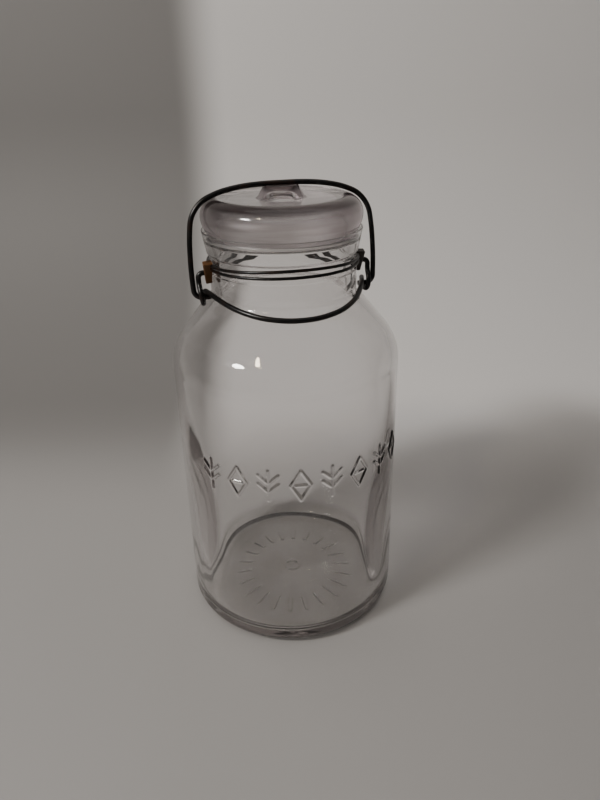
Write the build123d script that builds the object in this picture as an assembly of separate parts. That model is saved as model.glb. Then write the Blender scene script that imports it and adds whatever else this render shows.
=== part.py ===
from build123d import *

import os
from math import asin, atan2, cos, degrees, pi, radians, sin, sqrt, tan

# Wire-bail storage jar: a clear glass jar with a glass lid, a rubber seal and a wire closure.
# Millimetres. The origin is the centre of the base ring and +Z is up.
# The lever's loop is at the front (-Y) and the pivots are at the sides (-X and +X).

os.makedirs("parts", exist_ok=True)

# --- glass jar -----------------------------------------------------------------------------
BODY_LOW_R = 62.2         # outside of the body above the heel
BODY_R = 60.8             # outside of the body under the shoulder
WALL = 3.6                # body wall
HEEL_R = 8.0              # rounding from the base ring to the body
BASE_RING_IN_R = 44.0     # inner edge of the flat ring that the jar stands on
PUSH_UP = 3.5             # rise of the base's centre above the ring
BASE_THICK = 7.0          # glass in the middle of the base
INNER_HEEL_R = 11.0       # rounding inside, from the floor to the wall
SHOULDER_Z = 152.5        # where the shoulder leaves the straight body
SHOULDER_R = 27.0         # convex arc of the shoulder
NECK_R = 37.5             # outside of the neck
NECK_BLEND_R = 3.0        # concave arc from the shoulder to the neck
NECK_WALL = 4.8
GROOVE_R = 37.2           # floor of the groove that holds the neck wires
GROOVE_LOW_Z = 202.6
GROOVE_HIGH_Z = 210.4
COLLAR_LOW_R = 38.4       # the collar flares from here up to the lip
LIP_R = 40.3
LIP_Z = 222.0             # top of the lip
LIP_ROUND = 0.5
LIP_IN_R = 39.2           # inside of the lip, around the lid's foot
LEDGE_Z = 217.5           # ledge that the seal lies on
STEP_Z = 191.5            # top of the shoulder's concave arc
GROOVE_SLOPE = 0.6
COLLAR_STEP = 0.9
FLOOR_FALL = 1.5          # the floor falls this much from its centre to the inner heel

# --- rubber seal ---------------------------------------------------------------------------
SEAL_IN_R = 33.2
SEAL_OUT_R = 37.6
SEAL_THICK = 1.9
SEAL_ROUND = 0.5

# --- glass lid -----------------------------------------------------------------------------
LID_BOTTOM_Z = 219.5
LID_R = 40.2              # widest ring
LID_WIDE_Z = 228.3        # height of the widest ring
LID_FOOT_R = 36.4         # outer edge of the flat foot on the seal
LID_SHOULDER_R = 8.6      # rounding from the widest ring up to the crest
LID_DISH_R = 26.0         # flat floor of the dish inside the crest
LID_DISH_DEPTH = 1.0
HOLLOW_R = 31.5           # hollow under the lid
HOLLOW_Z = 229.8          # its ceiling
HOLLOW_ROUND = 4.0
DIMPLE_R = 8.0            # dimple under the boss
DIMPLE_RISE = 7.0
BOSS_LOW_R = 11.8         # central boss that carries the bail
BOSS_TOP_R = 8.2
BOSS_TOP_Z = 242.0
BOSS_FOOT_ROUND = 2.2
BOSS_EDGE_ROUND = 0.9
SEAT_R = 4.0              # radius of the shallow seat across the boss
SEAT_CLEARANCE = 0.3      # free height between the bail and its seat
DISH_ROUND = 2.5
FOOT_ROUND = 0.8
NEAR = 0.02               # tolerance for picking an edge

# --- wire closure --------------------------------------------------------------------------
WIRE_R = 1.3              # bail and lever wire
STRAND_R = 0.75           # neck wires
STRAND_PATH_R = 38.05     # centreline of the neck wires
STRAND_SPLIT = 1.65       # half of the wires' spacing in front and behind
STRAND_MEET = 0.85        # half of their spacing inside the clips
STRAND_Z = 207.5          # middle height of the pair in front and behind
STRAND_DIP = 1.9          # the pair is this much lower at the clips
STRAND_RUNS = 24          # straight runs in one turn of a neck wire
STRAND_GAP_DEG = 0.5      # half of the gap between a neck wire's ends, inside a clip
PIVOT_Y = -4.5            # lever pivot
PIVOT_Z = 203.0
EYE_Y = -5.5              # eye of the lever that holds the bail's hook
EYE_Z = 191.0
EYE_R = 2.95              # mean radius of the eye's turn
EYE_OUT_X = 43.7          # the eye's turn starts here, on the arm's side
EYE_IN_X = 41.6           # and ends here, on the loop's side
ARM_X = 44.0              # the arm bulges out to here
PIVOT_END_X = 38.9        # inner end of the lever's pivots
HOOK_END_X = 38.7         # inner end of the bail's hooks
BAIL_X = 47.2             # the bail's legs
BAIL_TOP_Z = 242.6
BAIL_LEAN = 0.105         # rearward lean of the bail's plane
BEND_SHARE = 0.47         # share of the shorter run that each bend takes
CLIP_IN_R = 37.65         # the clips clear the neck by this radius
CLIP_OUT_X = 41.0
CLIP_WIDE = 3.6
CLIP_TALL = 11.5
CLIP_MIDDLE_Z = 203.2
CLIP_TILT_DEG = 20.0      # the clips' lower ends lean forward
CLIP_PINCH_DEG = 6.0      # and in towards the neck
CLIP_ROUND = 0.6
STRAND_SLACK = 0.05       # free space around a neck wire in a clip
PIVOT_SLACK = 0.06        # free space around a pivot in a clip
CLIP_DEEP = 3.0           # extra depth that the neck's clearance then cuts away
SPLIT_POWER = 2           # how late the neck wires run together
ARM_TOP_Z = 197.5         # the arm is upright above this
HOOK_TUCK = 0.4           # the legs' lower ends tuck in by this much

# right half of the lever's loop, from the middle to the eye
LOOP_POINTS = [
    (7.0, -42.8, 187.0),
    (19.4, -38.0, 188.1),
    (28.3, -30.2, 189.8),
    (34.6, -20.5, 191.7),
    (39.0, -10.5, 193.5),
]
# right half of the bail's arch, across and up, from the middle to the leg
ARCH_POINTS = [
    (9.5, BAIL_TOP_Z),
    (20.0, 241.9),
    (30.5, 239.9),
    (39.5, 236.2),
    (44.9, 229.3),
    (46.5, 218.5),
    (BAIL_X, 204.0),
]


def bend_radii(points):
    """Radius of each bend, as large as its two runs allow."""
    spots = [Vector(*point) for point in points]
    radii = []
    for before, here, after in zip(spots, spots[1:], spots[2:]):
        run_in = here - before
        run_out = after - here
        shorter = min(run_in.length, run_out.length)
        half_turn = radians(run_in.get_angle(run_out)) / 2
        radii.append(BEND_SHARE * shorter / tan(half_turn))
    return radii


def tube(points, wire_r):
    """Round wire along straight runs joined by tangent arcs."""
    path = FilletPolyline(*points, radius=bend_radii(points))
    section = Plane(origin=path @ 0, z_dir=path % 0) * Circle(wire_r)
    return sweep(section, path=path)


def revolved(profile):
    """Solid of revolution of a closed outline drawn in the XZ plane."""
    return revolve(make_face(profile), axis=Axis.Z)


def mirrored(points):
    """The route and its mirror image in X, from the left end to the right end."""
    return [(-x, y, z) for x, y, z in reversed(points)] + list(points)


def blend_angle(drop, run, convex_r, concave_r):
    """Angle at which two tangent arcs and the slope between them cross a step of run by drop."""
    width = convex_r + concave_r
    reach = sqrt((width - run) ** 2 + drop ** 2)
    slope_length = sqrt(reach ** 2 - width ** 2)
    return atan2(drop, width - run) - atan2(slope_length, width)


def shoulder(body_r, low_z, convex_r, neck_r, concave_r, rise):
    """Outline from the top of the body to the bottom of the neck: arc, slope, arc."""
    angle = blend_angle(rise, body_r - neck_r, convex_r, concave_r)
    low = (body_r - convex_r, low_z)
    high = (neck_r + concave_r, low_z + rise)
    leave = (low[0] + convex_r * cos(angle), low[1] + convex_r * sin(angle))
    land = (high[0] - concave_r * cos(angle), high[1] - concave_r * sin(angle))
    half = angle / 2
    convex = ThreePointArc(
        (body_r, 0, low_z),
        (low[0] + convex_r * cos(half), 0, low[1] + convex_r * sin(half)),
        (leave[0], 0, leave[1]),
    )
    slope = Line((leave[0], 0, leave[1]), (land[0], 0, land[1]))
    concave = ThreePointArc(
        (land[0], 0, land[1]),
        (high[0] - concave_r * cos(half), 0, high[1] - concave_r * sin(half)),
        (neck_r, 0, high[1]),
    )
    return [convex, slope, concave]


def line(*points):
    """Straight runs through points given as radius and height."""
    return Polyline(*[(r, 0, z) for r, z in points]).edges()


def corner_arc(centre, radius, start_deg, end_deg):
    """Arc about a centre given as radius and height, from one angle to another."""
    middle = (start_deg + end_deg) / 2
    spots = [
        (centre[0] + radius * cos(radians(a)), 0, centre[1] + radius * sin(radians(a)))
        for a in (start_deg, middle, end_deg)
    ]
    return ThreePointArc(*spots)


def make_jar():
    rise = STEP_Z - SHOULDER_Z
    outer = [
        *line((0, PUSH_UP), (BASE_RING_IN_R, 0), (BODY_LOW_R - HEEL_R, 0)),
        corner_arc((BODY_LOW_R - HEEL_R, HEEL_R), HEEL_R, -90, 0),
        *line((BODY_LOW_R, HEEL_R), (BODY_R, SHOULDER_Z)),
        *shoulder(BODY_R, SHOULDER_Z, SHOULDER_R, NECK_R, NECK_BLEND_R, rise),
        *line(
            (NECK_R, STEP_Z),
            (NECK_R, GROOVE_LOW_Z - GROOVE_SLOPE),
            (GROOVE_R, GROOVE_LOW_Z),
            (GROOVE_R, GROOVE_HIGH_Z),
            (COLLAR_LOW_R, GROOVE_HIGH_Z + COLLAR_STEP),
            (LIP_R, LIP_Z - LIP_ROUND),
        ),
        corner_arc((LIP_R - LIP_ROUND, LIP_Z - LIP_ROUND), LIP_ROUND, 0, 90),
        *line(
            (LIP_R - LIP_ROUND, LIP_Z),
            (LIP_IN_R, LIP_Z),
            (LIP_IN_R, LEDGE_Z),
            (NECK_R - NECK_WALL, LEDGE_Z),
            (NECK_R - NECK_WALL, STEP_Z),
        ),
    ]
    in_r = BODY_R - WALL
    low_in_r = BODY_LOW_R - WALL
    neck_in_r = NECK_R - NECK_WALL
    inner = shoulder(in_r, SHOULDER_Z, SHOULDER_R - WALL, neck_in_r, NECK_BLEND_R + NECK_WALL, rise)
    floor_edge_z = PUSH_UP + BASE_THICK - FLOOR_FALL
    floor = [
        *line((in_r, SHOULDER_Z), (low_in_r, floor_edge_z + INNER_HEEL_R)),
        corner_arc((low_in_r - INNER_HEEL_R, floor_edge_z + INNER_HEEL_R), INNER_HEEL_R, 0, -90),
        *line((low_in_r - INNER_HEEL_R, floor_edge_z), (0, PUSH_UP + BASE_THICK), (0, PUSH_UP)),
    ]
    return revolved([*outer, *reversed(inner), *floor])


def make_seal():
    body = Cylinder(SEAL_OUT_R, SEAL_THICK) - Cylinder(SEAL_IN_R, SEAL_THICK)
    body = fillet(body.edges().filter_by(GeomType.CIRCLE), SEAL_ROUND)
    return Pos(0, 0, LEDGE_Z + SEAL_THICK / 2) * body


def make_lid():
    drop = LID_WIDE_Z - LID_BOTTOM_Z
    inset = LID_R - LID_FOOT_R
    side_r = (drop ** 2 + inset ** 2) / (2 * inset)
    sweep_deg = degrees(atan2(drop, side_r - inset))
    crest_r = LID_R - LID_SHOULDER_R
    crest_z = LID_WIDE_Z + LID_SHOULDER_R
    dish_z = crest_z - LID_DISH_DEPTH
    profile = [
        corner_arc((LID_R - side_r, LID_WIDE_Z), side_r, -sweep_deg, 0),
        corner_arc((crest_r, LID_WIDE_Z), LID_SHOULDER_R, 0, 90),
        *line((crest_r, crest_z), (LID_DISH_R, dish_z), (BOSS_LOW_R, dish_z)),
        *line((BOSS_LOW_R, dish_z), (BOSS_TOP_R, BOSS_TOP_Z), (0, BOSS_TOP_Z)),
        *line((0, BOSS_TOP_Z), (0, HOLLOW_Z), (HOLLOW_R, HOLLOW_Z)),
        *line((HOLLOW_R, HOLLOW_Z), (HOLLOW_R, LID_BOTTOM_Z), (LID_FOOT_R, LID_BOTTOM_Z)),
    ]
    lid = revolved(profile)
    lid = fillet(rings(lid, BOSS_LOW_R, dish_z), BOSS_FOOT_ROUND)
    lid = fillet(rings(lid, BOSS_TOP_R, BOSS_TOP_Z), BOSS_EDGE_ROUND)
    lid = fillet(rings(lid, LID_DISH_R, dish_z), DISH_ROUND)
    lid = fillet(rings(lid, HOLLOW_R, HOLLOW_Z), HOLLOW_ROUND)
    lid = fillet(rings(lid, HOLLOW_R, LID_BOTTOM_Z), FOOT_ROUND)
    cap_r = (DIMPLE_R ** 2 + DIMPLE_RISE ** 2) / (2 * DIMPLE_RISE)
    dimple = Pos(0, 0, HOLLOW_Z + DIMPLE_RISE - cap_r) * Sphere(cap_r)
    seat_bottom_z = BAIL_TOP_Z - WIRE_R - SEAT_CLEARANCE
    seat = Pos(0, 0, seat_bottom_z + SEAT_R) * Rot(0, 90, 0) * Cylinder(SEAT_R, 4 * BOSS_LOW_R)
    return lid - dimple - seat


def rings(shape, radius, height):
    """The circular edge of a solid of revolution at a radius and a height."""
    return [
        edge
        for edge in shape.edges().filter_by(GeomType.CIRCLE)
        if abs(edge.radius - radius) < NEAR and abs(edge.center().Z - height) < NEAR
    ]


def strand_points(side):
    """Route of a neck wire: side is +1 for the upper wire and -1 for the lower one."""
    meet = asin(-PIVOT_Y / STRAND_PATH_R)
    corner_r = STRAND_PATH_R / cos(pi / STRAND_RUNS)
    gap = radians(STRAND_GAP_DEG)
    start = pi + meet + gap
    turn = 2 * pi - 2 * gap
    points = []
    for i in range(STRAND_RUNS + 1):
        angle = start + turn * i / STRAND_RUNS
        toward_side = abs(cos(angle)) ** SPLIT_POWER
        split = STRAND_SPLIT + (STRAND_MEET - STRAND_SPLIT) * toward_side
        height = STRAND_Z - STRAND_DIP * toward_side + side * split
        points.append((corner_r * cos(angle), corner_r * sin(angle), height))
    return points


def make_strand(side):
    return tube(strand_points(side), STRAND_R)


def make_clip(side, strands):
    """Folded clip at one side: it holds both neck wires and is the bearing of the lever."""
    wide = CLIP_OUT_X - CLIP_IN_R + CLIP_DEEP
    body = fillet(Box(wide, CLIP_WIDE, CLIP_TALL).edges(), CLIP_ROUND)
    place = Pos(CLIP_OUT_X - wide / 2, PIVOT_Y, CLIP_MIDDLE_Z) * Rot(CLIP_TILT_DEG, CLIP_PINCH_DEG, 0)
    body = place * body
    bore = Pos(CLIP_OUT_X, PIVOT_Y, PIVOT_Z) * Rot(0, 90, 0) * Cylinder(WIRE_R + PIVOT_SLACK, CLIP_TALL)
    body = body - bore - Pos(0, 0, CLIP_MIDDLE_Z) * Cylinder(CLIP_IN_R, 2 * CLIP_TALL)
    if side < 0:
        body = mirror(body, about=Plane.YZ)
    for strand in strands:
        body = body - strand
    return body


def make_lever():
    """Lever: a loop around the front, an eye at each side, an arm and an inward pivot."""
    low = EYE_Z - EYE_R
    high = EYE_Z + EYE_R
    front = EYE_Y - EYE_R
    back = EYE_Y + EYE_R
    third = (EYE_OUT_X - EYE_IN_X) / 3
    right = [
        *LOOP_POINTS,
        (EYE_IN_X, back, high),
        (EYE_IN_X + third, back, low),
        (EYE_OUT_X - third, front, low),
        (EYE_OUT_X, front, high),
        (ARM_X, PIVOT_Y, ARM_TOP_Z),
        (ARM_X, PIVOT_Y, PIVOT_Z),
        (PIVOT_END_X, PIVOT_Y, PIVOT_Z),
    ]
    return tube(mirrored(right), WIRE_R)


def make_bail():
    """Bail: hooks through the lever's eyes, two legs and an arch over the lid."""
    right = [(x, EYE_Y + BAIL_LEAN * (z - EYE_Z), z) for x, z in ARCH_POINTS]
    right += [(BAIL_X - HOOK_TUCK, EYE_Y, EYE_Z), (HOOK_END_X, EYE_Y, EYE_Z)]
    return tube(mirrored(right), WIRE_R)


def write(node, shape):
    export_step(shape, f"parts/{node}.step")


upper = make_strand(1)
lower = make_strand(-1)
write("jar", make_jar())
write("seal_ring", make_seal())
write("lid", make_lid())
write("neck_wire_upper", upper)
write("neck_wire_lower", lower)
write("lever_wire", make_lever())
write("bail_wire", make_bail())
for name, side in (("side_clip_left", -1), ("side_clip_right", 1)):
    write(name, make_clip(side, [tube(strand_points(s), STRAND_R + STRAND_SLACK) for s in (1, -1)]))
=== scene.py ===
import math

import bpy
import numpy as np
from mathutils import Euler, Matrix, Vector, noise


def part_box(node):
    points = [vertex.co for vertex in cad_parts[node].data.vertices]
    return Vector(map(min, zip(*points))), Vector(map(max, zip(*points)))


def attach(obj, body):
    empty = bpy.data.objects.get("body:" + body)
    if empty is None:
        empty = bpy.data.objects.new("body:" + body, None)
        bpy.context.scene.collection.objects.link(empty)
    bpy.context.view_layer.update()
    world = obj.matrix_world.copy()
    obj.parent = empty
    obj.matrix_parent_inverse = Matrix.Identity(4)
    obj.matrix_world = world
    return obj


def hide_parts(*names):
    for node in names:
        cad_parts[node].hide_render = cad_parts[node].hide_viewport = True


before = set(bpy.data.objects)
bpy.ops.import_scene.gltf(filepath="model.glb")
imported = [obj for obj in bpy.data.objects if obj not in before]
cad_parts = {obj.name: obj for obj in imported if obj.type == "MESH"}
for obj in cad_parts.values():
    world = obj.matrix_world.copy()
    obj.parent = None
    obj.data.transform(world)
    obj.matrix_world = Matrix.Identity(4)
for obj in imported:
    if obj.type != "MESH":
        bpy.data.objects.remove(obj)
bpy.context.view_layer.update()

# --- the jar's own sizes, in metres --------------------------------------------------------
MM = 0.001
JAR_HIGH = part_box("jar")[1]
LID_LOW, LID_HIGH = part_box("lid")
SEAL_LOW, SEAL_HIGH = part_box("seal_ring")

HEEL_BODY_R = JAR_HIGH.x - 0.05 * MM
SHOULDER_BODY_R = JAR_HIGH.x - 1.4 * MM
WALL = 3.6 * MM
HEEL_R = 8.0 * MM
BASE_RING_IN_R = 44.0 * MM    # the jar stands on the ring outside this
BASE_EDGE_WIDE = 4.0 * MM     # how far inside the ring the base starts to flatten
BASE_EDGE_RISE = 0.35 * MM
BASE_EDGE_R = 12.0 * MM
PUSH_UP = 3.5 * MM
BASE_THICK = 7.0 * MM
FLOOR_FALL = 5.5 * MM
INNER_HEEL_R = 9.0 * MM
SHOULDER_Z = 152.5 * MM
SHOULDER_R = 27.0 * MM
NECK_Z = 191.5 * MM
NECK_R = 37.5 * MM
NECK_BLEND_R = 3.0 * MM
NECK_WALL = 4.8 * MM
GROOVE_R = 37.2 * MM
GROOVE_LOW_Z = 202.6 * MM
GROOVE_HIGH_Z = 210.4 * MM
COLLAR_LOW_R = 38.4 * MM
LIP_R = 40.3 * MM
LIP_Z = JAR_HIGH.z
LIP_IN_R = 39.2 * MM
LEDGE_Z = SEAL_LOW.z
SEAL_IN_R = 33.2 * MM
SEAL_EDGE = 0.5 * MM

LID_R = LID_HIGH.x
LID_Z = LID_LOW.z
LID_WIDE_Z = LID_Z + 8.8 * MM
LID_FOOT_R = 36.4 * MM
LID_CREST_ROUND = 8.6 * MM
LID_DISH_R = 26.0 * MM
LID_DISH_DEPTH = 1.0 * MM
LID_DISH_ROUND = 3.0 * MM
HOLLOW_R = 31.5 * MM
HOLLOW_Z = LID_Z + 10.3 * MM
HOLLOW_ROUND = 4.0 * MM
HOLLOW_EDGE = 0.8 * MM
DIMPLE_R = 8.0 * MM
DIMPLE_TOP_R = 4.4 * MM
DIMPLE_RISE = 7.0 * MM
DIMPLE_ROUND = 4.0 * MM
DIMPLE_FOOT_ROUND = 2.0 * MM
BOSS_LOW_R = 11.8 * MM
BOSS_TOP_R = 8.2 * MM
BOSS_TOP_Z = LID_HIGH.z
BOSS_FOOT_ROUND = 2.4 * MM
BOSS_EDGE = 0.9 * MM
SEAT_R = 4.0 * MM
SEAT_LOW_Z = 241.0 * MM

# --- how finely the outlines are divided ---------------------------------------------------
BASE_STEP = 1.2 * MM
WALL_STEP = 3.0 * MM
BAND_STEP = 0.36 * MM         # where the raised marks are
NECK_STEP = 2.0 * MM
FLOOR_STEP = 2.0 * MM
LID_TOP_STEP = 0.6 * MM
LID_HOLLOW_STEP = 1.0 * MM
LID_ANGLES = 288
SEAL_ANGLES = 192

# --- camera --------------------------------------------------------------------------------
CAMERA_DISTANCE = 0.3166      # level distance from the jar's axis
CAMERA_HEIGHT = 0.2846
CAMERA_AZIMUTH = math.radians(-12.69)
CAMERA_AIM = math.radians(1.29)
CAMERA_PITCH = math.radians(26.81)
CAMERA_ROLL = math.radians(1.207)
SENSOR = 36.0
LENS = 28.08


# --- outlines ------------------------------------------------------------------------------
def arc(centre, radius, start_deg, end_deg, steps):
    """Points along an arc, as radius and height."""
    angles = np.radians(np.linspace(start_deg, end_deg, steps))
    return [(centre[0] + radius * math.cos(a), centre[1] + radius * math.sin(a)) for a in angles]


def run(start, end, step):
    """Points along a straight run, evenly spaced and about a step apart."""
    length = math.dist(start, end)
    count = max(2, int(math.ceil(length / step)) + 1)
    return [
        (start[0] + (end[0] - start[0]) * t, start[1] + (end[1] - start[1]) * t)
        for t in np.linspace(0, 1, count)
    ]


def rounded(corners, radii, steps=7):
    """Outline through corners, each rounded by a tangent arc."""
    points = [corners[0]]
    for before, here, after, radius in zip(corners, corners[1:], corners[2:], radii):
        a = Vector(before) - Vector(here)
        b = Vector(after) - Vector(here)
        half = a.angle(b) / 2
        reach = min(radius / math.tan(half), 0.49 * a.length, 0.49 * b.length)
        radius = reach * math.tan(half)
        inward = (a.normalized() + b.normalized()).normalized()
        middle = Vector(here) + inward * (radius / math.sin(half))
        start = Vector(here) + a.normalized() * reach - middle
        end = Vector(here) + b.normalized() * reach - middle
        for t in np.linspace(0, 1, steps):
            spoke = start.lerp(end, t)
            spoke = spoke.normalized() * radius
            points.append(tuple(middle + spoke))
    points.append(corners[-1])
    return points


def divided(points, step):
    """The same outline with its long runs divided."""
    made = [points[0]]
    for start, end in zip(points, points[1:]):
        made.extend(run(start, end, step)[1:])
    return made


def distinct(points):
    """The outline without points that lie on the one before."""
    made = [points[0]]
    for point in points[1:]:
        if math.dist(point, made[-1]) > 1e-6:
            made.append(point)
    return made


def lathe(name, outline, angles, shift=None):
    """Closed mesh of revolution; shift moves each point, from its radius, height and angle."""
    outline = distinct(outline)
    r = np.array([p[0] for p in outline])
    z = np.array([p[1] for p in outline])
    on_axis = r < 1e-6
    grid_r = np.repeat(r[:, None], len(angles), 1)
    grid_z = np.repeat(z[:, None], len(angles), 1)
    grid_a = np.repeat(np.array(angles)[None, :], len(outline), 0)
    if shift is not None:
        grid_r, grid_z = shift(grid_r, grid_z, grid_a)
    verts = []
    rows = []
    for i in range(len(outline)):
        if on_axis[i]:
            verts.append((0.0, 0.0, float(grid_z[i].mean())))
            rows.append([len(verts) - 1])
        else:
            first = len(verts)
            x = grid_r[i] * np.cos(grid_a[i])
            y = grid_r[i] * np.sin(grid_a[i])
            verts.extend(zip(x.tolist(), y.tolist(), grid_z[i].tolist()))
            rows.append(list(range(first, first + len(angles))))
    faces = []
    count = len(angles)
    pairs = list(zip(rows, rows[1:]))
    if not on_axis[0] and not on_axis[-1]:
        pairs.append((rows[-1], rows[0]))
    for low, high in pairs:
        if len(low) == len(high) == 1:
            continue
        for j in range(count):
            k = (j + 1) % count
            if len(low) == 1:
                faces.append((low[0], high[k], high[j]))
            elif len(high) == 1:
                faces.append((low[j], low[k], high[0]))
            else:
                faces.append((low[j], low[k], high[k], high[j]))
    mesh = bpy.data.meshes.new(name)
    mesh.from_pydata(verts, [], faces)
    mesh.validate()
    mesh.shade_smooth()
    piece = bpy.data.objects.new(name, mesh)
    bpy.context.scene.collection.objects.link(piece)
    return piece


def smooth_step(low, high, value):
    """0 below low, 1 above high, and a smooth ramp between them."""
    t = np.clip((value - low) / (high - low), 0.0, 1.0)
    return t * t * (3 - 2 * t)


def waves(angle, height, seed, turns, rise):
    """Slow unevenness of pressed glass, between -1 and 1, that closes round the jar."""
    flat = np.zeros_like(angle)
    for (i, j), a in np.ndenumerate(angle):
        spot = Vector((math.cos(a) * turns, math.sin(a) * turns, height[i, j] / rise))
        flat[i, j] = noise.noise(spot + Vector((seed, 0, 0)))
    return flat


# --- raised marks --------------------------------------------------------------------------
MARK_COUNT = 8
MARK_MIDDLE_Z = 108.0 * MM
MARK_HALF = 8.5 * MM          # half of a mark's height
MARK_HALF_WIDE = 5.0 * MM
MARK_PITCH = math.radians(15.2)
MARK_STROKE = 0.75 * MM       # half width of a raised stroke
MARK_RISE = 0.75 * MM
MARK_MARGIN = 1.5 * MM        # finely divided wall above and below the marks
SPRIG_LEVELS = (-0.45, 0.15)  # where a sprig's paired strokes start, in half heights
SPRIG_LIFT = 0.55
FRONT = math.radians(-90)
MARK_STEP = math.radians(0.33)
PLAIN_STEP = math.radians(1.5)


def segment_distance(u, v, start, end):
    """Distance from each point of the unrolled wall to a straight stroke."""
    du, dv = end[0] - start[0], end[1] - start[1]
    t = np.clip(((u - start[0]) * du + (v - start[1]) * dv) / (du * du + dv * dv), 0, 1)
    return np.hypot(u - start[0] - t * du, v - start[1] - t * dv)


def diamond_distance(u, v):
    """A four-sided outline with a bar across it."""
    corners = [(0, MARK_HALF), (MARK_HALF_WIDE, 0), (0, -MARK_HALF), (-MARK_HALF_WIDE, 0)]
    sides = [segment_distance(u, v, a, b) for a, b in zip(corners, corners[1:] + corners[:1])]
    bar = segment_distance(u, v, (-MARK_HALF_WIDE / 2, 0), (MARK_HALF_WIDE / 2, 0))
    return np.minimum.reduce([*sides, bar])


def sprig_distance(u, v):
    """An upright stem with paired strokes."""
    strokes = [segment_distance(u, v, (0, -MARK_HALF), (0, MARK_HALF))]
    for level in SPRIG_LEVELS:
        base = (0, level * MARK_HALF)
        tip_v = (level + SPRIG_LIFT) * MARK_HALF
        strokes.append(segment_distance(u, v, base, (MARK_HALF_WIDE, tip_v)))
        strokes.append(segment_distance(u, v, base, (-MARK_HALF_WIDE, tip_v)))
    return np.minimum.reduce(strokes)


def turn_from(angle, middle):
    """How far an angle is from the middle one, between minus and plus half a turn."""
    return np.mod(angle - middle + math.pi, 2 * math.pi) - math.pi


def mark_height(angle, height):
    """Height of the band of raised marks above the wall, at each point."""
    raised = np.zeros_like(angle)
    for i in range(MARK_COUNT):
        middle = FRONT + (i - (MARK_COUNT - 1) / 2) * MARK_PITCH
        u = turn_from(angle, middle) * SHOULDER_BODY_R
        v = height - MARK_MIDDLE_Z
        distance = diamond_distance(u, v) if i % 2 else sprig_distance(u, v)
        stroke = 1 - smooth_step(0.35 * MARK_STROKE, 1.5 * MARK_STROKE, distance)
        raised = np.maximum(raised, stroke)
    return raised * MARK_RISE


def mark_angles():
    """Angles round the jar: close together where the marks are and wider elsewhere."""
    reach = MARK_PITCH * MARK_COUNT / 2 + math.radians(2)
    fine = np.arange(FRONT - reach, FRONT + reach, MARK_STEP)
    plain = np.arange(FRONT + reach, FRONT - reach + 2 * math.pi, PLAIN_STEP)
    return np.concatenate([fine, plain])


# --- jar -----------------------------------------------------------------------------------
def shoulder_outline(body_r, convex_r, neck_r, concave_r, steps=22):
    """Arc, run and arc from the top of the body to the neck."""
    rise = NECK_Z - SHOULDER_Z
    step_in = body_r - neck_r
    width = convex_r + concave_r
    reach = math.hypot(width - step_in, rise)
    angle = math.atan2(rise, width - step_in)
    angle -= math.atan2(math.sqrt(reach ** 2 - width ** 2), width)
    degrees = math.degrees(angle)
    convex = arc((body_r - convex_r, SHOULDER_Z), convex_r, 0, degrees, steps)
    concave = arc((neck_r + concave_r, NECK_Z), concave_r, 180 + degrees, 180, steps)
    return convex + concave


def jar_outer():
    """Outline from the middle of the base, up the outside and down into the neck."""
    low_r = HEEL_BODY_R
    base = run((0, PUSH_UP), (BASE_RING_IN_R, 0), BASE_STEP)[:-1]
    edge = (BASE_RING_IN_R - BASE_EDGE_WIDE, BASE_EDGE_RISE)
    base += rounded([edge, (BASE_RING_IN_R, 0), (low_r - HEEL_R, 0)], [BASE_EDGE_R])[1:]
    heel = arc((low_r - HEEL_R, HEEL_R), HEEL_R, -90, 0, 18)
    band_low = MARK_MIDDLE_Z - MARK_HALF - MARK_MARGIN
    band_high = MARK_MIDDLE_Z + MARK_HALF + MARK_MARGIN

    def wall(z):
        return (low_r + (SHOULDER_BODY_R - low_r) * (z - HEEL_R) / (SHOULDER_Z - HEEL_R), z)

    body = run(wall(HEEL_R), wall(band_low), WALL_STEP)
    body += run(wall(band_low), wall(band_high), BAND_STEP)
    body += run(wall(band_high), wall(SHOULDER_Z), WALL_STEP)
    top = [
        (NECK_R, NECK_Z),
        (NECK_R, GROOVE_LOW_Z - 0.6 * MM),
        (GROOVE_R, GROOVE_LOW_Z),
        (GROOVE_R, GROOVE_HIGH_Z),
        (COLLAR_LOW_R, GROOVE_HIGH_Z + 0.9 * MM),
        (LIP_R, LIP_Z),
        (LIP_IN_R, LIP_Z),
        (LIP_IN_R, LEDGE_Z),
        (NECK_R - NECK_WALL, LEDGE_Z),
        (NECK_R - NECK_WALL, NECK_Z),
    ]
    radii = [1.5 * MM, 0.6 * MM, 0.6 * MM, 0.9 * MM, 0.5 * MM, 0.5 * MM, 1.0 * MM, 1.5 * MM]
    neck = divided(rounded(top, radii), NECK_STEP)
    convex = shoulder_outline(SHOULDER_BODY_R, SHOULDER_R, NECK_R, NECK_BLEND_R)
    return base + heel[1:] + body[1:] + convex[1:] + neck[1:]


def jar_inner():
    """Outline from the neck, down the inside to the middle of the floor."""
    in_r = SHOULDER_BODY_R - WALL
    low_in_r = HEEL_BODY_R - WALL
    neck_in_r = NECK_R - NECK_WALL
    edge_z = PUSH_UP + BASE_THICK - FLOOR_FALL
    convex = shoulder_outline(in_r, SHOULDER_R - WALL, neck_in_r, NECK_BLEND_R + NECK_WALL)
    wall = run((in_r, SHOULDER_Z), (low_in_r, edge_z + INNER_HEEL_R), WALL_STEP)
    corner_r = low_in_r - INNER_HEEL_R
    corner = arc((corner_r, edge_z + INNER_HEEL_R), INNER_HEEL_R, 0, -90, 16)
    floor = run((corner_r, edge_z), (0, PUSH_UP + BASE_THICK), FLOOR_STEP)
    return convex[::-1][1:] + wall[1:] + corner[1:] + floor[1:]


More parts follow.
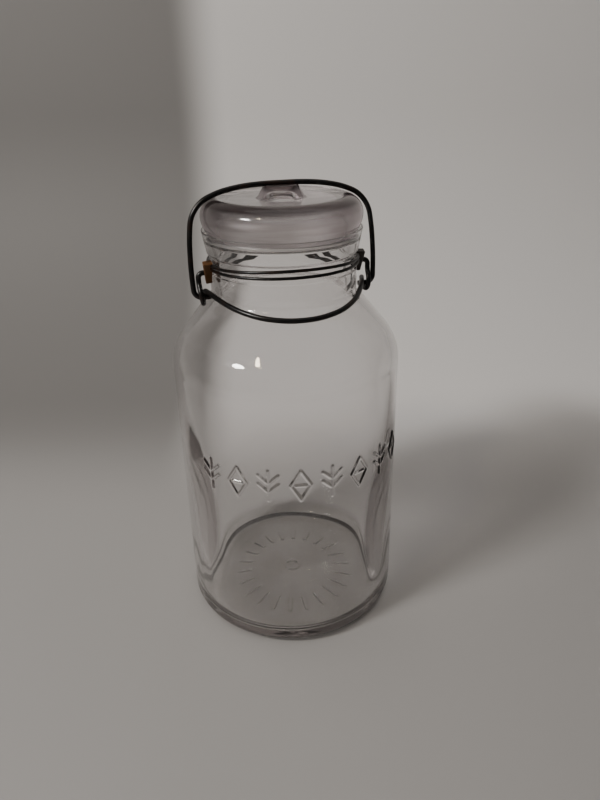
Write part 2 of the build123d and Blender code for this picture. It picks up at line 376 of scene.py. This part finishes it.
BASE_RIBS = 22
BASE_RIB_LOW_R = 27.0 * MM
BASE_RIB_HIGH_R = 37.0 * MM
BASE_RING_R = 4.2 * MM
BASE_RISE = 0.6 * MM
BASE_STROKE_IN = 0.4 * MM     # half width of a rib's flat top
BASE_STROKE_OUT = 2.0 * MM    # and of its foot
BASE_RING_IN = 0.5 * MM
BASE_RING_OUT = 1.3 * MM
UNEVEN_LOW = (12.0 * MM, 24.0 * MM)     # the wall's unevenness fades in over these heights
UNEVEN_HIGH = (170.0 * MM, 182.0 * MM)  # and out over these
INNER_UNEVEN = 0.50 * MM
INNER_WAVES = (3.0, 1.6, 55.0 * MM)     # place in the noise, waves round and height of one
OUTER_UNEVEN = 0.05 * MM
OUTER_WAVES = (9.0, 2.2, 40.0 * MM)
LID_UNEVEN = 0.12 * MM
LID_WAVES = (21.0, 1.7, 12.0 * MM)


def base_height(angle, radius):
    """Raised ribs and a small ring under the base."""
    pitch = 2 * math.pi / BASE_RIBS
    across = (np.mod(angle, pitch) - pitch / 2) * radius
    rib = 1 - smooth_step(BASE_STROKE_IN, BASE_STROKE_OUT, np.abs(across))
    inside = smooth_step(BASE_RIB_LOW_R - MM, BASE_RIB_LOW_R, radius)
    inside = inside * (1 - smooth_step(BASE_RIB_HIGH_R, BASE_RIB_HIGH_R + MM, radius))
    ring = 1 - smooth_step(BASE_RING_IN, BASE_RING_OUT, np.abs(radius - BASE_RING_R))
    return np.maximum(rib * inside, ring) * BASE_RISE


THICK_SPOTS = (           # angle from the front, height, half width, half height, depth
    (math.radians(-76.69), 74.0 * MM, math.radians(17), 35.0 * MM, 4.2 * MM),
    (math.radians(51.31), 57.0 * MM, math.radians(16), 33.0 * MM, 4.2 * MM),
)


def thick_spots(angle, height):
    """Extra glass inside the wall, in a few upright patches low on the sides."""
    extra = np.zeros_like(angle)
    for turn, middle_z, half_wide, half_tall, depth in THICK_SPOTS:
        across = turn_from(angle, FRONT + turn) / half_wide
        along = (height - middle_z) / half_tall
        extra = extra + depth * np.exp(-across ** 2 - along ** 2)
    return extra


def make_jar():
    """The jar's glass: uneven inside, with raised marks outside and under the base."""
    outer = jar_outer()
    inner = jar_inner()
    outline = outer + inner
    outer_count = len(distinct(outer))

    def shift(r, z, a):
        outside = np.zeros_like(r)
        outside[:outer_count] = 1.0
        wall = smooth_step(*UNEVEN_LOW, z) * (1 - smooth_step(*UNEVEN_HIGH, z))
        uneven = waves(a, z, *INNER_WAVES) * INNER_UNEVEN * (1 - outside)
        uneven = uneven - thick_spots(a, z) * (1 - outside)
        uneven = uneven + waves(a, z, *OUTER_WAVES) * OUTER_UNEVEN * outside
        band = (np.abs(z - MARK_MIDDLE_Z) < MARK_HALF + 2 * MM) * outside
        raised = mark_height(a, z) * band
        under = outside * (z < PUSH_UP + 0.1 * MM) * (r < BASE_RING_IN_R)
        lowered = base_height(a, r) * under
        return r + uneven * wall + raised, np.maximum(z - lowered, 0.0)

    jar = lathe("jar_glass", outline, mark_angles(), shift)
    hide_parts("jar")
    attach(jar, "jar")
    return jar


# --- lid -----------------------------------------------------------------------------------
def make_lid():
    """The lid's glass: bulged side, rounded rim, dish, boss with its seat, and hollow."""
    drop = LID_WIDE_Z - LID_Z
    inset = LID_R - LID_FOOT_R
    side_r = (drop ** 2 + inset ** 2) / (2 * inset)
    side_deg = math.degrees(math.atan2(drop, side_r - inset))
    crest_r = LID_R - LID_CREST_ROUND
    crest_z = LID_WIDE_Z + LID_CREST_ROUND
    dish_z = crest_z - LID_DISH_DEPTH
    dimple_z = HOLLOW_Z + DIMPLE_RISE
    top = rounded(
        [(crest_r, crest_z), (LID_DISH_R, dish_z), (BOSS_LOW_R, dish_z),
         (BOSS_TOP_R, BOSS_TOP_Z), (0, BOSS_TOP_Z)],
        [LID_DISH_ROUND, BOSS_FOOT_ROUND, BOSS_EDGE],
    )
    hollow = rounded(
        [(0, dimple_z), (DIMPLE_TOP_R, dimple_z), (DIMPLE_R, HOLLOW_Z),
         (HOLLOW_R, HOLLOW_Z), (HOLLOW_R, LID_Z), (LID_FOOT_R - MM, LID_Z)],
        [DIMPLE_ROUND, DIMPLE_FOOT_ROUND, HOLLOW_ROUND, HOLLOW_EDGE],
    )
    outline = arc((LID_R - side_r, LID_WIDE_Z), side_r, -side_deg, 0, 18)
    outline += arc((crest_r, LID_WIDE_Z), LID_CREST_ROUND, 0, 90, 22)[1:]
    outline += divided(top, LID_TOP_STEP)[1:]
    outline += divided(hollow, LID_HOLLOW_STEP)

    def shift(r, z, a):
        y = r * np.sin(a)
        seat = SEAT_LOW_Z + SEAT_R - np.sqrt(np.maximum(SEAT_R ** 2 - y ** 2, 0.0))
        on_boss = (z > dish_z + 2 * MM) * (np.abs(y) < SEAT_R)
        cut = np.where(on_boss > 0, np.minimum(z, seat), z)
        inside = (z < crest_z - 3 * MM) * (r < LID_R - 3.2 * MM)
        uneven = waves(a, z, *LID_WAVES) * LID_UNEVEN * inside
        return r + uneven * (r > 2 * MM), cut

    angles = np.linspace(0, 2 * math.pi, LID_ANGLES, endpoint=False)
    lid = lathe("lid_glass", outline, angles, shift)
    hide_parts("lid")
    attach(lid, "lid")
    return lid


def make_seal():
    """The ring of rubber on the jar's ledge."""
    low, high = SEAL_LOW.z, SEAL_HIGH.z
    inner, outer = SEAL_IN_R, SEAL_HIGH.x
    middle = (inner + outer) / 2
    outline = rounded(
        [(middle, low), (outer, low), (outer, high),
         (inner, high), (inner, low), (middle - MM, low)],
        [SEAL_EDGE] * 4, 5,
    )
    angles = np.linspace(0, 2 * math.pi, SEAL_ANGLES, endpoint=False)
    seal = lathe("seal_rubber", outline, angles)
    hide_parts("seal_ring")
    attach(seal, "jar")
    return seal


# --- materials -----------------------------------------------------------------------------
# Each noise is a scale per metre, a detail, and for some a stretch along each axis.
RIPPLE = (26.0, 2.0, (1, 1, 0.45))
DUST = (60.0, 6.0)
BASE_PATCHES = (40.0, 5.0)
STREAKS = (30.0, 5.0, (1, 1, 14))
HAZE_PATCHES = (45.0, 4.0, (1, 1, 3))
WEAR = (420.0, 6.0)
RUST_PATCHES = (150.0, 5.0)
STEEL_GRAIN = (1400.0, 4.0)
RUBBER_SPOTS = (180.0, 5.0)
PAPER_TONE = (3.0, 2.0)

# Each fade is where it starts and where it is full, as a height or a radius.
BASE_FADE = (18.0 * MM, 9.0 * MM)
FOOT_FADE = (2.6 * MM, 2.1 * MM)
FOOT_R_FADE = (HEEL_BODY_R - 6.5 * MM, HEEL_BODY_R - 5.0 * MM)
RIM_FADE = (LID_WIDE_Z + 4.0 * MM, LID_WIDE_Z + 6.5 * MM)
RIM_R_FADE = (LID_R - 9.5 * MM, LID_R - 7.5 * MM)
BOSS_FADE = (BOSS_TOP_Z - 3.5 * MM, BOSS_TOP_Z - 1.0 * MM)
HAZE_FADE = (HOLLOW_Z + 3.0 * MM, HOLLOW_Z + 0.5 * MM)
HAZE_R_FADE = (HOLLOW_R + 2.5 * MM, HOLLOW_R + 0.5 * MM)

JAR_CLEAR = (0.985, 0.98, 0.98)
JAR_VOLUME = (0.74, 0.715, 0.715)
JAR_DENSITY = 34.0
JAR_SHADE = 0.60
JAR_ROUGHNESS = (0.0, 0.035)
# Painted shade: the jar's base is tinted darker than its wall, varied in patches of dust.
BASE_SHADE_TINT = (0.72, 0.713, 0.70)
# Painted contact shadow: a near-black ring on the jar's foot, where the glass meets the floor.
FOOT_CONTACT_SHADE = (0.035, 0.03, 0.028)
LID_CLEAR = (0.93, 0.92, 0.92)
LID_SIDE = (0.53, 0.495, 0.49)
# Painted shade: near-black on the lid's upper rim rounding, also used on top of the boss.
LID_PAINTED_SHADE = (0.058, 0.043, 0.043)
LID_VOLUME = (0.62, 0.52, 0.56)
LID_DENSITY = 20.0
LID_SHADE = 0.62
LID_ROUGHNESS = 0.11
HAZE_ROUGHNESS = (0.12, 0.55)   # added in the hollow
BLACK = (0.003, 0.0025, 0.0025)
WORN = (0.010, 0.008, 0.007)
RUST = (0.016, 0.007, 0.004)
STEEL_ROUGHNESS = (0.20, 0.42)
CLIP_RUST = ((0.06, 0.027, 0.009), (0.19, 0.09, 0.032), (0.12, 0.052, 0.017))
CLIP_DARK = (0.02, 0.014, 0.012)
RUBBER_DULL = (0.80, 0.78, 0.76)
RUBBER_PALE = (0.88, 0.86, 0.85)
RUBBER_ROUGHNESS = (0.22, 0.4)


def new_material(name):
    """A node material with its output, principled shader and coordinates."""
    material = bpy.data.materials.new(name)
    material.use_nodes = True
    nodes = material.node_tree.nodes
    links = material.node_tree.links
    shader = nodes["Principled BSDF"]
    place = nodes.new("ShaderNodeTexCoord")
    return material, nodes, links, shader, place


def add_noise(nodes, links, place, scale, detail, stretch=(1, 1, 1)):
    """Noise in the object's own metres, with a stretch along each axis."""
    mapping = nodes.new("ShaderNodeMapping")
    mapping.inputs["Scale"].default_value = stretch
    links.new(place.outputs["Object"], mapping.inputs["Vector"])
    texture = nodes.new("ShaderNodeTexNoise")
    texture.inputs["Scale"].default_value = scale
    texture.inputs["Detail"].default_value = detail
    links.new(mapping.outputs["Vector"], texture.inputs["Vector"])
    return texture.outputs["Fac"]


def ramp(nodes, links, source, stops):
    """Colour ramp over a 0 to 1 value; each stop is a place and a colour."""
    node = nodes.new("ShaderNodeValToRGB")
    band = node.color_ramp
    while len(band.elements) < len(stops):
        band.elements.new(0.5)
    for element, (position, colour) in zip(band.elements, stops):
        element.position = position
        element.color = (*colour, 1.0)
    links.new(source, node.inputs["Fac"])
    return node.outputs["Color"]


def remap(nodes, links, source, low, high):
    """A 0 to 1 value stretched to run from low to high."""
    node = nodes.new("ShaderNodeMapRange")
    node.inputs["To Min"].default_value = low
    node.inputs["To Max"].default_value = high
    links.new(source, node.inputs["Value"])
    return node.outputs["Result"]


def add_bump(nodes, links, shader, source, strength, distance):
    """Relief in the shading only, distance deep."""
    node = nodes.new("ShaderNodeBump")
    node.inputs["Strength"].default_value = strength
    node.inputs["Distance"].default_value = distance
    links.new(source, node.inputs["Height"])
    links.new(node.outputs["Normal"], shader.inputs["Normal"])


def separated(nodes, links, place):
    """The object's own coordinates, one by one."""
    split = nodes.new("ShaderNodeSeparateXYZ")
    links.new(place.outputs["Object"], split.inputs["Vector"])
    return split


def axis_distance(nodes, links, split):
    """Distance from the object's axis, from its separated coordinates."""
    flat = nodes.new("ShaderNodeCombineXYZ")
    links.new(split.outputs["X"], flat.inputs["X"])
    links.new(split.outputs["Y"], flat.inputs["Y"])
    length = nodes.new("ShaderNodeVectorMath")
    length.operation = "LENGTH"
    links.new(flat.outputs["Vector"], length.inputs[0])
    return length.outputs["Value"]


def between(nodes, links, source, low, high):
    """0 below low, 1 above high."""
    node = nodes.new("ShaderNodeMapRange")
    node.interpolation_type = "SMOOTHSTEP"
    node.inputs["From Min"].default_value = low
    node.inputs["From Max"].default_value = high
    links.new(source, node.inputs["Value"])
    return node.outputs["Result"]


def product(nodes, links, first, second):
    """Two values multiplied."""
    node = nodes.new("ShaderNodeMath")
    node.operation = "MULTIPLY"
    links.new(first, node.inputs[0])
    links.new(second, node.inputs[1])
    return node.outputs["Value"]


def mixed(nodes, links, share, first, second):
    """Blend of two colours, each a plain colour or a node's output."""
    node = nodes.new("ShaderNodeMix")
    node.data_type = "RGBA"
    links.new(share, node.inputs[0])
    for socket, value in ((node.inputs[6], first), (node.inputs[7], second)):
        if isinstance(value, tuple):
            socket.default_value = (*value, 1.0)
        else:
            links.new(value, socket)
    return node.outputs[2]


def let_lamps_through(nodes, links, shader, shade):
    """Light from the lamps passes the glass, dimmed, in place of caustics."""
    path = nodes.new("ShaderNodeLightPath")
    clear = nodes.new("ShaderNodeBsdfTransparent")
    clear.inputs["Color"].default_value = (shade, shade, shade, 1.0)
    mix = nodes.new("ShaderNodeMixShader")
    links.new(path.outputs["Is Shadow Ray"], mix.inputs[0])
    links.new(shader.outputs["BSDF"], mix.inputs[1])
    links.new(clear.outputs["BSDF"], mix.inputs[2])
    links.new(mix.outputs["Shader"], nodes["Material Output"].inputs["Surface"])


def tint_rim(nodes, links, shader, place):
    """The lid's thick rim is painted near-black, slightly violet, as shade on its upper
    rounding, with darker streaks along the side below it; the top of the boss is painted the
    same near-black.
    """
    split = separated(nodes, links, place)
    radius = axis_distance(nodes, links, split)
    streaks = add_noise(nodes, links, place, *STREAKS)
    side = ramp(nodes, links, streaks, [(0.35, LID_SIDE), (0.65, LID_CLEAR)])
    high = between(nodes, links, split.outputs["Z"], *RIM_FADE)
    outside = between(nodes, links, radius, *RIM_R_FADE)
    # Painted shade on the rim's upper rounding, above the streaked side.
    rim = mixed(nodes, links, high, side, LID_PAINTED_SHADE)
    boss = between(nodes, links, split.outputs["Z"], *BOSS_FADE)
    # The top of the boss is painted the same near-black.
    top = mixed(nodes, links, boss, LID_CLEAR, LID_PAINTED_SHADE)
    links.new(mixed(nodes, links, outside, top, rim), shader.inputs["Base Color"])


def haze_hollow(nodes, links, shader, place):
    """The lid's hollow is hazy and its outside is clear."""
    split = separated(nodes, links, place)
    radius = axis_distance(nodes, links, split)
    inside = between(nodes, links, radius, *HAZE_R_FADE)
    low = between(nodes, links, split.outputs["Z"], *HAZE_FADE)
    share = product(nodes, links, inside, low)
    patches = add_noise(nodes, links, place, *HAZE_PATCHES)
    rough = remap(nodes, links, patches, *HAZE_ROUGHNESS)
    total = nodes.new("ShaderNodeMath")
    total.operation = "MULTIPLY_ADD"
    links.new(share, total.inputs[0])
    links.new(rough, total.inputs[1])
    total.inputs[2].default_value = LID_ROUGHNESS
    links.new(total.outputs["Value"], shader.inputs["Roughness"])


def tint_base(nodes, links, shader, place):
    """The jar's thick base is painted darker than its wall as shade, in patches of dust, and a
    painted contact shadow lines its foot, where the glass turns opaque.
    """
    split = separated(nodes, links, place)
    low = between(nodes, links, split.outputs["Z"], *BASE_FADE)
    patches = add_noise(nodes, links, place, *BASE_PATCHES)
    paler = tuple(0.5 * (a + b) for a, b in zip(BASE_SHADE_TINT, JAR_CLEAR))
    # Painted shade on the base, in patches of dust.
    shade_and_dust = ramp(nodes, links, patches, [(0.35, BASE_SHADE_TINT), (0.7, paler)])
    radius = axis_distance(nodes, links, split)
    # Painted contact shadow along the outer edge of the foot.
    foot = between(nodes, links, split.outputs["Z"], *FOOT_FADE)
    rim = between(nodes, links, radius, *FOOT_R_FADE)
    contact_shade = product(nodes, links, foot, rim)
    foot_shaded = mixed(nodes, links, contact_shade, shade_and_dust, FOOT_CONTACT_SHADE)
    links.new(mixed(nodes, links, low, JAR_CLEAR, foot_shaded), shader.inputs["Base Color"])
    # Where the contact shadow is painted, the glass stops passing light.
    passing = remap(nodes, links, contact_shade, 1.0, 0.0)
    links.new(passing, shader.inputs["Transmission Weight"])


def dust_jar(nodes, links, shader, place):
    """Thin dust, so the jar's glass is hardly rough at all."""
    dust = add_noise(nodes, links, place, *DUST)
    links.new(remap(nodes, links, dust, *JAR_ROUGHNESS), shader.inputs["Roughness"])


def glass_material(name, tint, density, shade, marks):
    """Old pressed glass: faint violet cast and fine ripples; marks colour it, partly with
    painted shade, and roughen it.
    """
    material, nodes, links, shader, place = new_material(name)
    shader.inputs["Transmission Weight"].default_value = 1.0
    shader.inputs["IOR"].default_value = 1.5
    for mark in marks:
        mark(nodes, links, shader, place)
    ripple = add_noise(nodes, links, place, *RIPPLE)
    add_bump(nodes, links, shader, ripple, 0.35, 0.0012)
    let_lamps_through(nodes, links, shader, shade)
    absorb = nodes.new("ShaderNodeVolumeAbsorption")
    absorb.inputs["Color"].default_value = (*tint, 1.0)
    absorb.inputs["Density"].default_value = density
    links.new(absorb.outputs["Volume"], nodes["Material Output"].inputs["Volume"])
    return material


def steel_material(name, dark, worn, rust, rust_share):
    """Blackened steel with worn spots, and with more rust where rust_share is larger."""
    material, nodes, links, shader, place = new_material(name)
    wear = add_noise(nodes, links, place, *WEAR)
    colour = ramp(nodes, links, wear, [(0.0, dark), (0.52, dark), (0.68, worn)])
    patches = add_noise(nodes, links, place, *RUST_PATCHES)
    edge = 1.0 - rust_share
    mask = ramp(nodes, links, patches, [(max(edge - 0.12, 0.0), (0, 0, 0)), (edge, (1, 1, 1))])
    links.new(mixed(nodes, links, mask, colour, rust), shader.inputs["Base Color"])
    shader.inputs["Metallic"].default_value = 0.15
    links.new(remap(nodes, links, wear, *STEEL_ROUGHNESS), shader.inputs["Roughness"])
    grain = add_noise(nodes, links, place, *STEEL_GRAIN)
    add_bump(nodes, links, shader, grain, 0.5, 0.00012)
    return material


def rubber_material():
    """Aged pale rubber that lets some light through."""
    material, nodes, links, shader, place = new_material("aged_rubber")
    spots = add_noise(nodes, links, place, *RUBBER_SPOTS)
    colour = ramp(nodes, links, spots, [(0.3, RUBBER_DULL), (0.7, RUBBER_PALE)])
    links.new(colour, shader.inputs["Base Color"])
    shader.inputs["Transmission Weight"].default_value = 0.9
    links.new(remap(nodes, links, spots, *RUBBER_ROUGHNESS), shader.inputs["Roughness"])
    add_bump(nodes, links, shader, spots, 0.4, 0.0002)
    return material


def dress(piece, material):
    """Gives a new piece its one material."""
    piece.data.materials.clear()
    piece.data.materials.append(material)


def dress_node(name, material):
    """Gives a CAD node a material without touching its mesh."""
    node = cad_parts[name]
    if not node.material_slots:
        node.data.materials.append(material)
    for spot in node.material_slots:
        spot.material = material


# --- stage ---------------------------------------------------------------------------------
FLOOR_GAP = 0.3 * MM          # air between the floor and the glass
STAGE_HALF = 3.0
STAGE_BACK = 0.45             # from the jar's axis to the backdrop
STAGE_BEND = 0.26
STAGE_STEPS = 24
FLOOR_DARK = (0.395, 0.383, 0.375)
FLOOR_PALE = (0.425, 0.411, 0.402)
# Painted shade: the backdrop is much darker on its left than on its right.
BACK_LEFT_SHADED = (0.25, 0.24, 0.233)
BACK_RIGHT = (0.90, 0.88, 0.865)
RIGHT_FADE = (-0.115, -0.055)   # across the stage
BACK_FADE = (0.07, 0.26)        # from the floor's tone to the backdrop's
SURROUND = (1.0, 0.97, 0.95)
SURROUND_STRENGTH = 0.085
CROSSINGS = 32                  # how often light may cross the glass
REFLECTIONS = 24                # and how often it may reflect inside it


def make_stage():
    """Pale floor that curves up into a plain backdrop, whose left side is painted darker as
    shade.
    """
    bend_y = STAGE_BACK - STAGE_BEND
    profile = [(-STAGE_HALF, 0.0)]
    profile += [(bend_y + STAGE_BEND * math.sin(a), STAGE_BEND * (1 - math.cos(a)))
                for a in np.linspace(0, math.pi / 2, STAGE_STEPS)]
    profile.append((STAGE_BACK, STAGE_HALF))
    verts = [(x, y, z) for x in (-STAGE_HALF, STAGE_HALF) for y, z in profile]
    count = len(profile)
    faces = [(i, i + 1, count + i + 1, count + i) for i in range(count - 1)]
    mesh = bpy.data.meshes.new("backdrop")
    mesh.from_pydata(verts, [], faces)
    mesh.shade_smooth()
    stage = bpy.data.objects.new("backdrop", mesh)
    bpy.context.scene.collection.objects.link(stage)
    stage.rotation_euler.z = CAMERA_AZIMUTH
    stage.location.z = -FLOOR_GAP
    material, nodes, links, shader, place = new_material("paper")
    tone = add_noise(nodes, links, place, *PAPER_TONE)
    colour = ramp(nodes, links, tone, [(0.3, FLOOR_DARK), (0.7, FLOOR_PALE)])
    split = separated(nodes, links, place)
    right = between(nodes, links, split.outputs["X"], *RIGHT_FADE)
    # Painted shade darkens the backdrop's left side.
    back = mixed(nodes, links, right, BACK_LEFT_SHADED, BACK_RIGHT)
    up = between(nodes, links, split.outputs["Y"], *BACK_FADE)
    links.new(mixed(nodes, links, up, colour, back), shader.inputs["Base Color"])
    shader.inputs["Roughness"].default_value = 0.6
    dress(stage, material)


def add_light(name, azimuth_deg, elevation_deg, distance, size, power, colour):
    """Soft oval light that faces the jar's middle; size is its width and height."""
    azimuth = math.radians(azimuth_deg) + CAMERA_AZIMUTH
    elevation = math.radians(elevation_deg)
    away = Vector((
        math.sin(azimuth) * math.cos(elevation),
        -math.cos(azimuth) * math.cos(elevation),
        math.sin(elevation),
    ))
    lamp = bpy.data.lights.new(name, "AREA")
    lamp.shape = "ELLIPSE"
    lamp.size, lamp.size_y = size
    lamp.energy = power
    lamp.color = colour
    light = bpy.data.objects.new(name, lamp)
    light.location = Vector((0, 0, JAR_HIGH.z / 2)) + away * distance
    light.rotation_euler = away.to_track_quat("Z", "Y").to_euler()
    bpy.context.scene.collection.objects.link(light)


def make_lights():
    """Key, a small warm lamp, a broad soft light above, and a dim surround."""
    add_light("key", -57, 41, 1.1, (0.22, 0.12), 7.6, (1.0, 0.97, 0.93))
    add_light("lamp", -38, 50, 1.1, (0.07, 0.06), 0.8, (1.0, 0.85, 0.62))
    add_light("top", 150, 78, 1.3, (1.4, 1.4), 3.5, (1.0, 0.97, 0.94))
    world = bpy.context.scene.world or bpy.data.worlds.new("world")
    bpy.context.scene.world = world
    world.use_nodes = True
    surround = world.node_tree.nodes["Background"]
    surround.inputs["Color"].default_value = (*SURROUND, 1.0)
    surround.inputs["Strength"].default_value = SURROUND_STRENGTH


def allow_deep_glass():
    """Light may cross and reflect inside the thick glass many times."""
    cycles = bpy.context.scene.cycles
    cycles.max_bounces = CROSSINGS
    cycles.glossy_bounces = REFLECTIONS
    cycles.transmission_bounces = CROSSINGS
    cycles.transparent_max_bounces = CROSSINGS


def make_camera():
    """The photograph's view."""
    camera_data = bpy.data.cameras.new("camera")
    camera_data.sensor_width = SENSOR
    camera_data.lens = LENS
    camera = bpy.data.objects.new("camera", camera_data)
    camera.location = (
        CAMERA_DISTANCE * math.sin(CAMERA_AZIMUTH),
        -CAMERA_DISTANCE * math.cos(CAMERA_AZIMUTH),
        CAMERA_HEIGHT,
    )
    turn = Euler((math.pi / 2 - CAMERA_PITCH, 0, CAMERA_AZIMUTH - CAMERA_AIM)).to_matrix()
    turn = turn @ Matrix.Rotation(-CAMERA_ROLL, 3, "Z")
    camera.rotation_euler = turn.to_euler()
    bpy.context.scene.collection.objects.link(camera)
    bpy.context.scene.camera = camera


make_camera()
make_stage()
make_lights()
allow_deep_glass()

jar = make_jar()
lid = make_lid()
seal = make_seal()
jar_shade_and_dust = (tint_base, dust_jar)
lid_shade_and_haze = (tint_rim, haze_hollow)
dress(jar, glass_material("jar_glass", JAR_VOLUME, JAR_DENSITY, JAR_SHADE, jar_shade_and_dust))
dress(lid, glass_material("lid_glass", LID_VOLUME, LID_DENSITY, LID_SHADE, lid_shade_and_haze))
dress(seal, rubber_material())

wire = steel_material("closure_wire", BLACK, WORN, RUST, 0.34)
neck_wire = steel_material("neck_wire", BLACK, WORN, RUST, 0.36)
dress_node("lever_wire", wire)
dress_node("bail_wire", wire)
dress_node("neck_wire_upper", neck_wire)
dress_node("neck_wire_lower", neck_wire)
dress_node("side_clip_left", steel_material("rusty_clip", *CLIP_RUST, 0.55))
dress_node("side_clip_right", steel_material("dark_clip", CLIP_DARK, WORN, RUST, 0.40))
